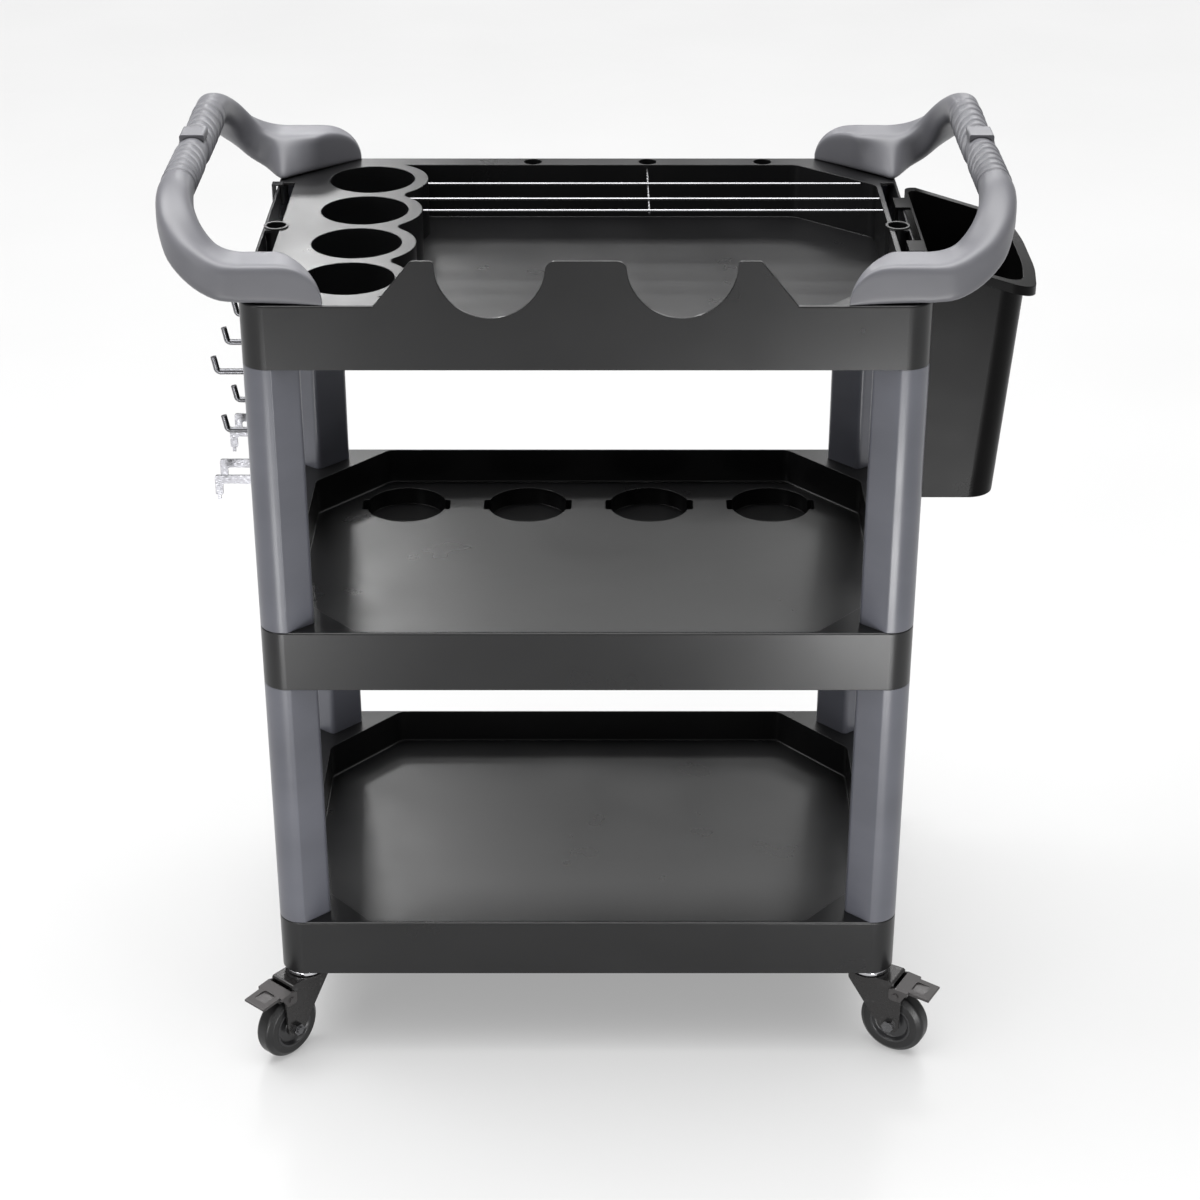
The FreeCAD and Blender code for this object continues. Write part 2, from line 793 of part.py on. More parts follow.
def oval(centre, along, wide, tall):
    """An ellipse round a point of the arm, square to the arm's run."""
    across = along.cross(UP).normalize()
    upward = across.cross(along).normalize()
    if wide <= tall + 0.01:
        ring = Part.Circle(centre, along, tall)
        ring.XAxis = across
        return Part.Wire(ring.toShape())
    ring = Part.Ellipse(centre + across * wide, centre + upward * tall, centre)
    return Part.Wire(ring.toShape())


def make_handle(label, side):
    """A push handle: two corner fairings, two arms and a ribbed grip between them."""
    line, height, radius = (dim[name].value for name in ("grip_line", "grip_height", "grip_radius"))
    reach = dim["grip_half_length"].value
    grip = Part.makeCylinder(radius, reach * 2, Vector(side * line, -reach, height), Vector(0, 1, 0))
    shape = grip.fuse([fairing_and_arm(side, -1), fairing_and_arm(side, 1)])
    for end in (-1, 1):
        foot = Vector(side * HANDLE_SCREW[0], end * HANDLE_SCREW[1], dim["top_rim"].value)
        pilot = Part.makeCylinder(SCREW_PILOT, 24, foot)
        shape = shape.cut(pilot)
    feature = doc.addObject("Part::Feature", "Solid_" + label)
    feature.Label = label
    feature.Shape = shape.removeSplitter()
    sub_parts.append(feature)


def make_clip(label, side):
    """The saddle plate snapped over the middle of a grip."""
    body = new_body(label)
    sketch = new_sketch(body, "XZ", -15)
    radius = dim["grip_radius"]
    outline(sketch, [
        (-12.5, -8, 1), (12.5, -8, 1), (12.5, radius + 2.2, 2), (-12.5, radius + 2.2, 2)
    ])
    pad(body, sketch, 30)
    bore = new_sketch(body, "XZ", -16)
    circle(bore, 0, 0, radius + 0.05)
    pocket(body, bore, 32, forwards=True)
    place(body, x=side * dim["grip_line"], z=dim["grip_height"])


# ---------------------------------------------------------------- bottle rods
def make_rod(label, start, end):
    """A straight steel rod between two points at one height."""
    run = end - start
    rod = doc.addObject("Part::Cylinder", "Rod_" + label)
    rod.Label = label
    bind(rod, "Radius", dim["rod_radius"])
    rod.Height = run.Length
    rod.Placement = FreeCAD.Placement(start, FreeCAD.Rotation(UP, run))
    sub_parts.append(rod)


def rod_start(y):
    """X at which a rod along the tray clears the scalloped wall."""
    offset = min(abs(y - cup_y.value) for cup_y in cup_places())
    bulge = math.sqrt(dim["barrel_radius"].value ** 2 - offset ** 2)
    return bulge - dim["cup_line"].value + dim["rod_gap"].value


def make_rods():
    """Three rods along the tray and one across them, just under the rim."""
    height = dim["top_rim"].value - dim["rod_drop"].value
    right = dim["basin_half_width"].value - 0.3
    for label, y, shorter in RODS:
        make_rod(label, Vector(rod_start(y), y, height), Vector(right - shorter, y, height))
    line = dim["cross_rod_line"].value
    front = RODS[0][1] - 2
    back = half_depth.value - dim["back_rim"].value - 0.3
    low = height - dim["rod_radius"].value * 2
    make_rod("bottle_cross_rod", Vector(line, front, low), Vector(line, back, low))


# ---------------------------------------------------------------- waste bin
def bin_section(body, height, inner, outer, half, corner, grow=0):
    """One level outline of the bin."""
    sketch = new_sketch(body, offset=height)
    shoulder, belly = dim["bin_bulge"], dim["bin_belly"]
    outline(sketch, [
        (inner - grow, -half - grow, 8), (outer - shoulder + grow, -half - grow, corner),
        (outer + grow, half * -0.4, belly), (outer + grow, half * 0.4, belly),
        (outer - shoulder + grow, half + grow, corner), (inner - grow, half + grow, 8),
    ])
    return sketch


def make_bin():
    """The waste bin, which hangs by two straps in the slot of the right side rim."""
    body = new_body("waste_bin")
    rim, floor = dim["top_rim"], dim["bin_floor"]
    top, lip, slope_drop, slope_end = rim + 6, 8, 27, 450
    near_side, far_side, ledge, half_span = 320, 470, 352, 140
    corner, thick = dim["bin_corner"], dim["bin_wall"]
    inner, outer, half = dim["bin_top_inner"], dim["bin_top_outer"], dim["bin_top_half"]
    block = [
        bin_section(body, rim - 46, inner + lip, outer, half, corner, lip),
        bin_section(body, top, inner + lip, outer, half, corner, lip),
    ]
    loft(body, block)
    lower = new_sketch(body, "XZ", -half_span)
    outline(lower, [
        (near_side, rim - 50), (far_side, rim - 50), (far_side, rim - slope_drop - 16),
        (ledge, rim - 7), (near_side, rim - 7),
    ])
    pocket(body, lower, half_span * 2, forwards=True)
    low, low_out, low_half = dim["bin_bottom_inner"], dim["bin_bottom_outer"], dim["bin_bottom_half"]
    shell = [
        bin_section(body, floor, low, low_out, low_half, corner),
        bin_section(body, top, inner, outer, half, corner),
    ]
    loft(body, shell)
    upper = new_sketch(body, "XZ", -half_span)
    outline(upper, [
        (near_side, rim + 3), (ledge, rim + 3), (slope_end, rim - slope_drop),
        (far_side, rim - slope_drop - 6), (far_side, rim + 20), (near_side, rim + 20),
    ])
    pocket(body, upper, half_span * 2, forwards=True)
    space = [
        bin_section(body, floor + thick, low, low_out, low_half, corner - thick, -thick),
        bin_section(body, top, inner, outer, half, corner - thick, -thick),
    ]
    loft(body, space, cutting=True)
    hanging_straps(body, BIN_STRAP, BIN_TONGUE, (BIN_TONGUE[0], inner + 2), 2.6)


def hanging_straps(body, strap, tongue, bridge, thick):
    """Two straps over a side rim, each with a tongue that drops into the rim's slot."""
    rim = dim["top_rim"]
    for end in (-1, 1):
        near, far = sorted(end * edge for edge in strap)
        over = new_sketch(body, offset=rim + STRAP_GAP)
        rectangle(over, bridge[0], near, bridge[1], far)
        pad(body, over, thick)
        drop = new_sketch(body, offset=rim - TONGUE_DEPTH)
        rectangle(drop, tongue[0], near, tongue[1], far)
        pad(body, drop, TONGUE_DEPTH + STRAP_GAP + thick / 2)


# ---------------------------------------------------------------- hook panel
def make_hook_panel():
    """The board that hangs in the slot of the left side rim and carries the hooks."""
    body = new_body("hook_panel")
    rim, half = dim["top_rim"], dim["panel_half"]
    board = new_sketch(body, "YZ", -dim["panel_outside"])
    thick = dim["panel_outside"] - dim["panel_inside"]
    rectangle(board, -half, dim["panel_bottom"], half, rim - dim["board_drop"], 6)
    pad(body, board, thick)
    strap_thick = 1.6
    for end in (-1, 1):
        ear = new_sketch(body, "YZ", -dim["panel_outside"])
        root, tip = end * (half - 6), end * BOARD_STRAP[1]
        low_y, high_y = (root, tip) if end > 0 else (tip, root)
        rectangle(ear, low_y, rim - dim["board_drop"] - 40, high_y, rim - dim["board_drop"])
        pad(body, ear, thick)
        near, far = sorted(end * edge for edge in BOARD_STRAP)
        strap = new_sketch(body, "YZ", -dim["panel_outside"])
        rectangle(strap, near, rim - dim["board_drop"] - 40, far, rim + STRAP_GAP + strap_thick)
        pad(body, strap, thick)
    hanging_straps(body, BOARD_STRAP, BOARD_TONGUE, (-dim["panel_outside"] + 1, BOARD_TONGUE[1]), strap_thick)


def bent_peg(y, height):
    """A rod that leaves the board, bends up and ends in a short tip."""
    radius, start, reach = dim["peg_radius"].value, -dim["panel_outside"].value, -dim["peg_reach"].value
    bend = 4.5
    arm = Part.makeCylinder(radius, start - reach - bend, Vector(start, y, height), Vector(-1, 0, 0))
    corner = Part.makeTorus(bend, radius, Vector(reach + bend, y, height + bend), Vector(0, 1, 0))
    quarter = Part.makeBox(bend + radius, radius * 2 + 1, bend + radius,
                           Vector(reach - radius, y - radius - 0.5, height - radius))
    tip = Part.makeCylinder(radius, 12, Vector(reach, y, height + bend), Vector(-0.2, 0, 1))
    ball = Part.makeSphere(radius, Vector(reach, y, height + bend))
    return arm.fuse([corner.common(quarter), ball, tip])


def make_pegs():
    """The upright-tipped pegs in two rows."""
    rim = dim["top_rim"].value
    places = [(y, rim - 128) for y in (-82, 0, 82)] + [(y, rim - 211) for y in (-41, 41)]
    feature = doc.addObject("Part::Feature", "Group_peg_hooks")
    feature.Label = "peg_hooks"
    feature.Shape = Part.makeCompound([bent_peg(y, height) for y, height in places])
    sub_parts.append(feature)


def make_tool_holder(label, middle):
    """A fork of two flat blades with down-turned fingers, on a base plate."""
    body = new_body(label)
    top = dim["top_rim"] - 245
    back = dim["panel_outside"]
    plate = new_sketch(body, "YZ", -back - 2)
    rectangle(plate, middle - 27, top - 14, middle + 27, top, 2)
    pad(body, plate, 2)
    for offset in (-20.5, 20.5):
        blade = new_sketch(body, "XZ", -middle - offset - 1.25)
        outline(blade, [
            (-back - 1, top - 10), (-back - 1, top), (-391, top, 3), (-391, top - 22, 2),
            (-383, top - 22, 2), (-383, top - 9, 3),
        ])
        pad(body, blade, 2.5)
        nib = new_sketch(body, "XZ", -middle - offset - 1.25)
        rectangle(nib, -389, top - 27, -385.5, top - 21)
        pad(body, nib, 2.5)


# ---------------------------------------------------------------- casters
def make_caster(corner, side, end, heading):
    """One braked swivel caster, built about its own swivel axis and then turned to its heading."""
    label = "caster_" + corner + "_"
    before = len(sub_parts)
    make_stem(label + "stem")
    make_swivel_ring(label + "swivel_ring")
    make_fork(label + "fork")
    make_pedal(label + "brake_pedal")
    make_axle(label + "axle_bolt")
    make_hub(label + "hub")
    make_tyre(label + "tyre")
    for piece in sub_parts[before:]:
        place(piece, x=side * dim["caster_line_x"], y=end * dim["caster_line_y"], turn=heading)


def make_stem(label):
    """The stem pressed into the tray's boss, with the head that holds the fork."""
    body = new_body(label)
    sketch = new_sketch(body, "XZ")
    radius, top = dim["stem_radius"], dim["fork_top"]
    outline(sketch, [
        (0, top - 8), (10, top - 8, 1), (10, top - 4, 1),
        (radius, top - 4), (radius, top + 66, 1), (0, top + 66),
    ])
    revolve(body, sketch)


def make_swivel_ring(label):
    """The bright bearing cup on top of the fork."""
    body = new_body(label)
    sketch = new_sketch(body, "XZ")
    radius, top = dim["ring_cup_radius"], dim["fork_top"]
    outline(sketch, [
        (7, top + 0.1), (radius, top + 0.1, 2), (radius, top + 5, 2), (radius - 3, top + 7.5, 1),
        (radius - 3, top + 10.6, 1), (7, top + 10.6),
    ])
    revolve(body, sketch)


def make_fork(label):
    """The stamped yoke: a top plate and two cheeks that narrow to the axle."""
    body = new_body(label)
    top, trail, sheet_metal = dim["fork_top"], dim["trail"], dim["fork_sheet"]
    inside = dim["fork_inside"] / 2
    outer = inside + sheet_metal
    side_view = new_sketch(body, "XZ", -outer)
    pivot_x, pivot_z = dim["pivot_reach"], dim["pivot_height"]
    outline(side_view, [
        (-18, top, 4), (-18, top - 10, 6), (trail - 10, 31, 9), (trail + 11, 28, 9),
        (trail + 12, 48, 10), (pivot_x + 6, pivot_z - 6, 4), (pivot_x + 5, pivot_z + 4.5, 2),
        (trail + 3, pivot_z + 5.5, 1), (trail + 3, top, 3),
    ])
    pad(body, side_view, outer * 2)
    inner = new_sketch(body, "XZ", -inside)
    rectangle(inner, -40, 10, 90, top - sheet_metal)
    pocket(body, inner, inside * 2, forwards=True)
    disc = new_sketch(body, offset=top - sheet_metal)
    circle(disc, 0, 0, dim["ring_cup_radius"] + 1)
    pad(body, disc, sheet_metal)
    stem_hole = new_sketch(body, offset=top + 1)
    circle(stem_hole, 0, 0, dim["stem_bore"])
    pocket(body, stem_hole, 8)
    for x, z, radius in (
        (trail, dim["wheel_radius"], dim["axle_radius"]),
        (pivot_x, pivot_z, dim["pivot_bore"]),
    ):
        hole = new_sketch(body, "XZ", -outer - 1)
        circle(hole, x, z, radius)
        pocket(body, hole, outer * 2 + 2, forwards=True)


def make_pedal(label):
    """The brake pedal: a plate with a raised frame, two side flanges, pivots and the brake shoe."""
    body = new_body(label)
    start, end, half = dim["pedal_start"], dim["pedal_end"], dim["pedal_width"] / 2
    side_view = new_sketch(body, "XZ", -half - 3)
    pivot_x, pivot_z = dim["pivot_reach"], dim["pivot_height"]
    outline(side_view, [
        (start - 4, 74, 4), (start + 10, 74, 4), (start + 16, 85, 3), (end, 83, 1), (end, 86, 1),
        (start + 3, 90, 2), (start - 4, 88, 3),
    ])
    pad(body, side_view, half * 2 + 6)
    under = new_sketch(body, "XZ", -half - 0.4)
    outline(under, [
        (start - 9, 60), (start + 30, 60), (start + 20, 84.5),
        (start + 2.5, 87), (start + 2.5, 95), (start - 9, 95),
    ])
    pocket(body, under, half * 2 + 0.8, forwards=True)
    trim = new_sketch(body, offset=60)
    for flank in (-1, 1):
        near, far = (half - 1, half + 6) if flank > 0 else (-half - 6, -half + 1)
        rectangle(trim, start + 18, near, end + 4, far)
    pocket(body, trim, 40, forwards=True)
    window = new_sketch(body, offset=95)
    rectangle(window, start + 18, -8.5, end - 8, 8.5, 3)
    pocket(body, window, 8.4)
    shoe = new_sketch(body, "XZ", -9)
    outline(shoe, [(start + 6, 75), (start + 13, 75), (start + 14, 86.5), (start + 5, 87)])
    pad(body, shoe, 18)
    pin = new_sketch(body, "XZ", -half - 1)
    circle(pin, pivot_x, pivot_z, dim["pivot_radius"])
    pad(body, pin, half * 2 + 2)
    for flank in (-1, 1):
        level_y = half + 3 if flank > 0 else -half - 3
        rivet = new_sketch(body, "XZ", -level_y)
        circle(rivet, pivot_x, pivot_z, 3.6)
        pad(body, rivet, 1.6, backwards=flank > 0)


def make_axle(label):
    """The axle bolt with its head and its nut."""
    feature = doc.addObject("Part::Feature", "Solid_" + label)
    feature.Label = label
    radius = dim["axle_radius"].value
    outer = dim["fork_inside"].value / 2 + dim["fork_sheet"].value
    centre = Vector(dim["trail"].value, 0, dim["wheel_radius"].value)
    along = Vector(0, 1, 0)
    shank = Part.makeCylinder(radius, outer * 2 + 8, centre - along * (outer + 1), along)
    sixth = math.pi / 3
    ring = [Vector(7.2 * math.cos(turn * sixth), 0, 7.2 * math.sin(turn * sixth)) for turn in range(6)]
    hexagon = Part.Face(closed_wire([centre + point for point in ring]))
    nut, head = hexagon.copy(), hexagon.copy()
    nut.translate(along * outer)
    head.translate(along * (-outer - 4.5))
    feature.Shape = shank.fuse([nut.extrude(along * 5), head.extrude(along * 4.5)])
    sub_parts.append(feature)


def make_hub(label):
    """The wheel's core, dished on both faces."""
    body = new_body(label)
    radius, half, bore = dim["hub_radius"], dim["wheel_width"] / 2, dim["axle_bore"]
    sketch = new_sketch(body, "XZ")
    outline(sketch, [
        (bore, -half - 0.8), (9, -half - 0.8, 1), (9, -half + 4, 2), (radius - 5, -half + 4, 2),
        (radius - 2, -half - 0.3, 1), (radius, -half - 0.3),
        (radius, half + 0.3), (radius - 2, half + 0.3, 1), (radius - 5, half - 4, 2), (9, half - 4, 2),
        (9, half + 0.8, 1), (bore, half + 0.8),
    ])
    revolve(body, sketch)
    lay_on_axle(body)


def make_tyre(label):
    """The rubber tread ring with rounded shoulders."""
    body = new_body(label)
    radius, half = dim["wheel_radius"], dim["wheel_width"] / 2
    sketch = new_sketch(body, "XZ")
    outline(sketch, [
        (dim["hub_radius"], -half, 0), (radius - 6, -half, 3), (radius, -half + 5, 5),
        (radius, half - 5, 5), (radius - 6, half, 3), (dim["hub_radius"], half),
    ])
    revolve(body, sketch)
    lay_on_axle(body)


wheel_parts = []


def lay_on_axle(body):
    """Remember a turned part of the wheel, whose own Z axis lies along the axle."""
    wheel_parts.append(body.Name)


def place_wheel(body, side, end, heading):
    """Lay a turned part of the wheel on its axle."""
    lying = FreeCAD.Rotation(Vector(1, 0, 0), 90)
    turned = FreeCAD.Rotation(UP, heading)
    offset = turned.multVec(Vector(dim["trail"].value, 0, dim["wheel_radius"].value))
    axis = Vector(side * dim["caster_line_x"].value, end * dim["caster_line_y"].value, 0)
    for letter in "xyz":
        body.setExpression(f"Placement.Base.{letter}", None)
    body.Placement = FreeCAD.Placement(axis + offset, turned.multiply(lying))


CASTERS = (
    ("front_left", -1, -1, -131.0),
    ("front_right", 1, -1, -30.0),
    ("rear_left", -1, 1, 118.0),
    ("rear_right", 1, 1, 52.0),
)


# ---------------------------------------------------------------- whole trolley
def make_legs():
    """Four lower and four upper legs, with the screws that hold their feet."""
    for tier, foot, head in (
        ("lower", dim["bottom_rim"], dim["middle_rim"] - dim["tray_height"]),
        ("upper", dim["middle_rim"], dim["top_rim"] - dim["tray_height"]),
    ):
        for side, side_name in ((-1, "left"), (1, "right")):
            for end, end_name in ((-1, "front"), (1, "rear")):
                make_leg(f"{tier}_leg_{end_name}_{side_name}", side, end, foot, head)


def export_all():
    """Check every object, then write one STEP file for each sub-part."""
    doc.recompute()
    for thing in doc.Objects:
        if "Invalid" in thing.State or "Error" in thing.State:
            raise RuntimeError(f"{thing.Label} did not compute: {thing.State}")
        if thing.TypeId in ("PartDesign::Pocket", "PartDesign::SubtractiveLoft"):
            if thing.BaseFeature.Shape.Volume - thing.Shape.Volume < 0.01:
                raise RuntimeError(f"{thing.Label} of {thing.Name} cuts nothing")
    os.makedirs("parts", exist_ok=True)
    for piece in sub_parts:
        if piece.Shape.isNull() or not piece.Shape.isValid():
            raise RuntimeError(f"{piece.Label} has no valid shape")
        piece.Shape.exportStep(f"parts/{piece.Label}.step")
        print(piece.Label, len(piece.Shape.Solids), round(piece.Shape.Volume / 1000, 2), "cm3")


make_shelf("bottom_shelf", dim["bottom_rim"], bosses=True)
make_shelf("middle_shelf", dim["middle_rim"], recesses=True)
make_top_tray()
make_legs()
make_handle("handle_left", -1)
make_handle("handle_right", 1)
for group_name, places, deck, reach in (
    ("handle_screws", handle_screw_places(), dim["top_rim"].value, 20),
    ("lower_leg_screws", leg_screw_places(), dim["bottom_rim"].value, 12),
    ("upper_leg_screws", leg_screw_places(), dim["middle_rim"].value, 12),
):
    make_screws(group_name, places, deck - wall.value, deck + reach)
make_clip("grip_clip_left", -1)
make_clip("grip_clip_right", 1)
make_rods()
make_bin()
make_hook_panel()
make_pegs()
make_tool_holder("tool_holder_front", -61.5)
make_tool_holder("tool_holder_rear", 61.5)
for caster in CASTERS:
    make_caster(*caster)
for wheel_part, caster in zip(wheel_parts, [caster for caster in CASTERS for _ in range(2)]):
    place_wheel(doc.getObject(wheel_part), *caster[1:])
export_all()
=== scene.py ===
"""Looks of the spa trolley cart: finishes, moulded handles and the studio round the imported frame."""
import logging
import math
from dataclasses import dataclass, field
from enum import Enum

import bpy
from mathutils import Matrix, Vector


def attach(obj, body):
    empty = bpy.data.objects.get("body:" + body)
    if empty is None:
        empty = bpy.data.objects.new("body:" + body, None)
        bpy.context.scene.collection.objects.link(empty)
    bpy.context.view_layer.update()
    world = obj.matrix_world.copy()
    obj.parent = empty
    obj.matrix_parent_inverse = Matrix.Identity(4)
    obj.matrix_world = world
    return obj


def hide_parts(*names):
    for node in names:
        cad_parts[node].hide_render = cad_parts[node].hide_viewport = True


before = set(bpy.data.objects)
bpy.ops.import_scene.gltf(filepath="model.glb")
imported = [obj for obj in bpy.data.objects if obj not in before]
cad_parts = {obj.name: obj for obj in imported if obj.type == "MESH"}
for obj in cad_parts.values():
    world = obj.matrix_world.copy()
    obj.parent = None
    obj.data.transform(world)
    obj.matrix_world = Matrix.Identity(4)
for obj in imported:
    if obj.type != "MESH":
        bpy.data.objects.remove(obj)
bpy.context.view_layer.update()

MM = 0.001
WHITE = (1.0, 1.0, 1.0, 1.0)
BEVEL_SAMPLES = 4
MIX_FACTOR, MIX_FIRST, MIX_SECOND, MIX_RESULT = 0, 6, 7, 2
LOG = logging.getLogger("spa_trolley")


class Side(Enum):
    """The two ends of the trolley that carry a push handle."""

    LEFT = -1
    RIGHT = 1


class Grain(Enum):
    """How coarse the moulded texture of a plastic is: bumps per metre and their height in metres."""

    POLISHED = (900.0, 0.000004)
    SATIN = (1500.0, 0.000012)
    STIPPLED = (800.0, 0.00003)


# ---------------------------------------------------------------- node bench
class NodeBench:
    """Builds one material's node tree, with short calls for the nodes that the finishes share."""

    def __init__(self, name: str) -> None:
        """Start an empty material.

        Args:
            name: The material's name.
        """
        self.material = bpy.data.materials.new(name)
        self.material.use_nodes = True
        self.tree = self.material.node_tree
        self.tree.nodes.clear()
        output = self.add("ShaderNodeOutputMaterial")
        self.shader = self.add("ShaderNodeBsdfPrincipled")
        self.link(self.shader.outputs["BSDF"], output.inputs["Surface"])
        self.place = self.add("ShaderNodeTexCoord").outputs["Object"]

    def add(self, kind: str, **values: object) -> bpy.types.Node:
        """Add a node.

        Args:
            kind: The node's Blender type.
            **values: Properties of the node to set.

        Returns:
            The new node.
        """
        node = self.tree.nodes.new(kind)
        for key, value in values.items():
            setattr(node, key, value)
        return node

    def link(self, source: bpy.types.NodeSocket, target: bpy.types.NodeSocket) -> None:
        """Join an output to an input.

        Args:
            source: The output socket.
            target: The input socket.
        """
        self.tree.links.new(source, target)

    def noise(self, scale: float, detail: float, stretch: tuple[float, float, float] = (1, 1, 1),
              roughness: float = 0.5) -> bpy.types.NodeSocket:
        """Cloudy noise over the object's own coordinates.

        Args:
            scale: Features per metre.
            detail: Octaves of finer noise.
            stretch: Scale along each axis.
            roughness: Strength of the finer octaves.

        Returns:
            The noise's value socket, from 0 to 1.
        """
        mapping = self.add("ShaderNodeMapping")
        mapping.inputs["Scale"].default_value = stretch
        self.link(self.place, mapping.inputs["Vector"])
        texture = self.add("ShaderNodeTexNoise")
        texture.inputs["Scale"].default_value = scale
        texture.inputs["Detail"].default_value = detail
        texture.inputs["Roughness"].default_value = roughness
        self.link(mapping.outputs["Vector"], texture.inputs["Vector"])
        return texture.outputs[0]

    def spread(self, value: bpy.types.NodeSocket, low: float, high: float, start: float = 0.3,
               end: float = 0.7) -> bpy.types.NodeSocket:
        """Map a noise to a range.

        Args:
            value: The socket to map.
            low: Result at the start.
            high: Result at the end.
            start: Value where the range starts.
            end: Value where the range ends.

        Returns:
            The mapped socket.
        """
        node = self.add("ShaderNodeMapRange")
        for name, number in (("From Min", start), ("From Max", end), ("To Min", low), ("To Max", high)):
            node.inputs[name].default_value = number
        self.link(value, node.inputs["Value"])
        return node.outputs["Result"]

    def blend(self, factor: bpy.types.NodeSocket, first: tuple[float, float, float],
              second: tuple[float, float, float]) -> bpy.types.NodeSocket:
        """Mix two colours by a factor.

        Args:
            factor: The socket that chooses, from 0 to 1.
            first: Colour at 0.
            second: Colour at 1.

        Returns:
            The mixed colour socket.
        """
        node = self.add("ShaderNodeMix", data_type="RGBA")
        node.inputs[MIX_FIRST].default_value = (*first, 1.0)
        node.inputs[MIX_SECOND].default_value = (*second, 1.0)
        self.link(factor, node.inputs[MIX_FACTOR])
        return node.outputs[MIX_RESULT]

    def relief(self, grains: list[tuple[bpy.types.NodeSocket, float]], edge: float) -> None:
        """Round the edges of the shading and lay fine bumps over it.

        Args:
            grains: Pairs of a height socket and its height in metres.
            edge: Radius of the softened edges in metres.
        """
        soft = self.add("ShaderNodeBevel", samples=BEVEL_SAMPLES)
        soft.inputs["Radius"].default_value = edge
        normal = soft.outputs["Normal"]
        for height, size in grains:
            bump = self.add("ShaderNodeBump")
            bump.inputs["Strength"].default_value = 1.0
            bump.inputs["Distance"].default_value = size
            self.link(height, bump.inputs["Height"])
            self.link(normal, bump.inputs["Normal"])
            normal = bump.outputs["Normal"]
        self.link(normal, self.shader.inputs["Normal"])

    def set(self, **values: float) -> None:
        """Set sockets of the shader that are the same all over.

        Args:
            **values: Socket names, with underscores for spaces, and their values.
        """
        for key, value in values.items():
            self.shader.inputs[key.replace("_", " ")].default_value = value


# ---------------------------------------------------------------- finishes
@dataclass(frozen=True)
class MouldedPlastic:
    """Injection-moulded plastic with a fine mould texture, faint flow marks and an uneven sheen."""

    name: str
    colour: tuple[float, float, float]
    roughness: float
    grain: Grain
    sheen_spread: float = 0.06
    specular: float = 0.5
    edge: float = 0.0012

    def build(self) -> bpy.types.Material:
        """Make the material.

        Returns:
            The finished material.
        """
        bench = NodeBench(self.name)
        density, height = self.grain.value
        flow = bench.noise(scale=5.0, detail=4.0, stretch=(1.0, 1.0, 2.5))
        fine = bench.noise(scale=density, detail=2.0)
        gain, lift, shade = 1.16, 0.0015, 0.88
        lighter = tuple(min(1.0, channel * gain + lift) for channel in self.colour)
        darker = tuple(channel * shade for channel in self.colour)
        body = bench.blend(bench.spread(flow, 0.0, 1.0), darker, lighter)
        bench.link(body, bench.shader.inputs["Base Color"])
        patches = bench.noise(scale=11.0, detail=5.0)
        rough = bench.spread(patches, self.roughness - self.sheen_spread, self.roughness + self.sheen_spread)
        bench.link(rough, bench.shader.inputs["Roughness"])
        flow_depth = 0.00008
        bench.relief([(fine, height), (flow, flow_depth)], self.edge)
        bench.set(Specular_IOR_Level=self.specular, IOR=1.5)
        return bench.material


@dataclass(frozen=True)
class PlatedSteel:
    """Bright plated or zinc-coated steel, with drawn streaks and small smudges."""

    name: str
    colour: tuple[float, float, float]
    roughness: float
    streak: tuple[float, float, float] = (1.0, 1.0, 1.0)
    edge: float = 0.0003

    def build(self) -> bpy.types.Material:
        """Make the material.

        Returns:
            The finished material.
        """
        bench = NodeBench(self.name)
        streaks = bench.noise(scale=260.0, detail=4.0, stretch=self.streak)
        smudge = bench.noise(scale=38.0, detail=4.0)
        shade, drawn, smudged = 0.8, 0.7, 1.5
        darker = tuple(channel * shade for channel in self.colour)
        tone = bench.blend(bench.spread(smudge, 0.0, 1.0), darker, self.colour)
        bench.link(tone, bench.shader.inputs["Base Color"])
        rough = bench.spread(streaks, self.roughness * drawn, self.roughness * smudged)
        bench.link(rough, bench.shader.inputs["Roughness"])
        streak_depth = 0.000006
        bench.relief([(streaks, streak_depth)], self.edge)
        bench.set(Metallic=1.0)
        return bench.material


@dataclass(frozen=True)
class CoatedSteel:
    """Pressed steel under a thin dark coating that has worn bright in spots."""

    name: str
    colour: tuple[float, float, float]
    roughness: float
    wear: float = 0.35
    edge: float = 0.0004

    def build(self) -> bpy.types.Material:
        """Make the material.

        Returns:
            The finished material.
        """
        bench = NodeBench(self.name)
        wear = bench.noise(scale=90.0, detail=6.0, roughness=0.7)
        grain = bench.noise(scale=1800.0, detail=2.0)
        bare, coated, worn = 0.3, 1.2, 0.8
        bright = tuple(channel + bare for channel in self.colour)
        spots = bench.spread(wear, 0.0, self.wear, start=0.6, end=0.75)
        colour = bench.blend(spots, self.colour, bright)
        bench.link(colour, bench.shader.inputs["Base Color"])
        rough = bench.spread(wear, self.roughness * coated, self.roughness * worn)
        bench.link(rough, bench.shader.inputs["Roughness"])
        grain_depth = 0.000008
        bench.relief([(grain, grain_depth)], self.edge)
        bench.set(Metallic=0.65, Coat_Weight=0.25, Coat_Roughness=0.2)
        return bench.material


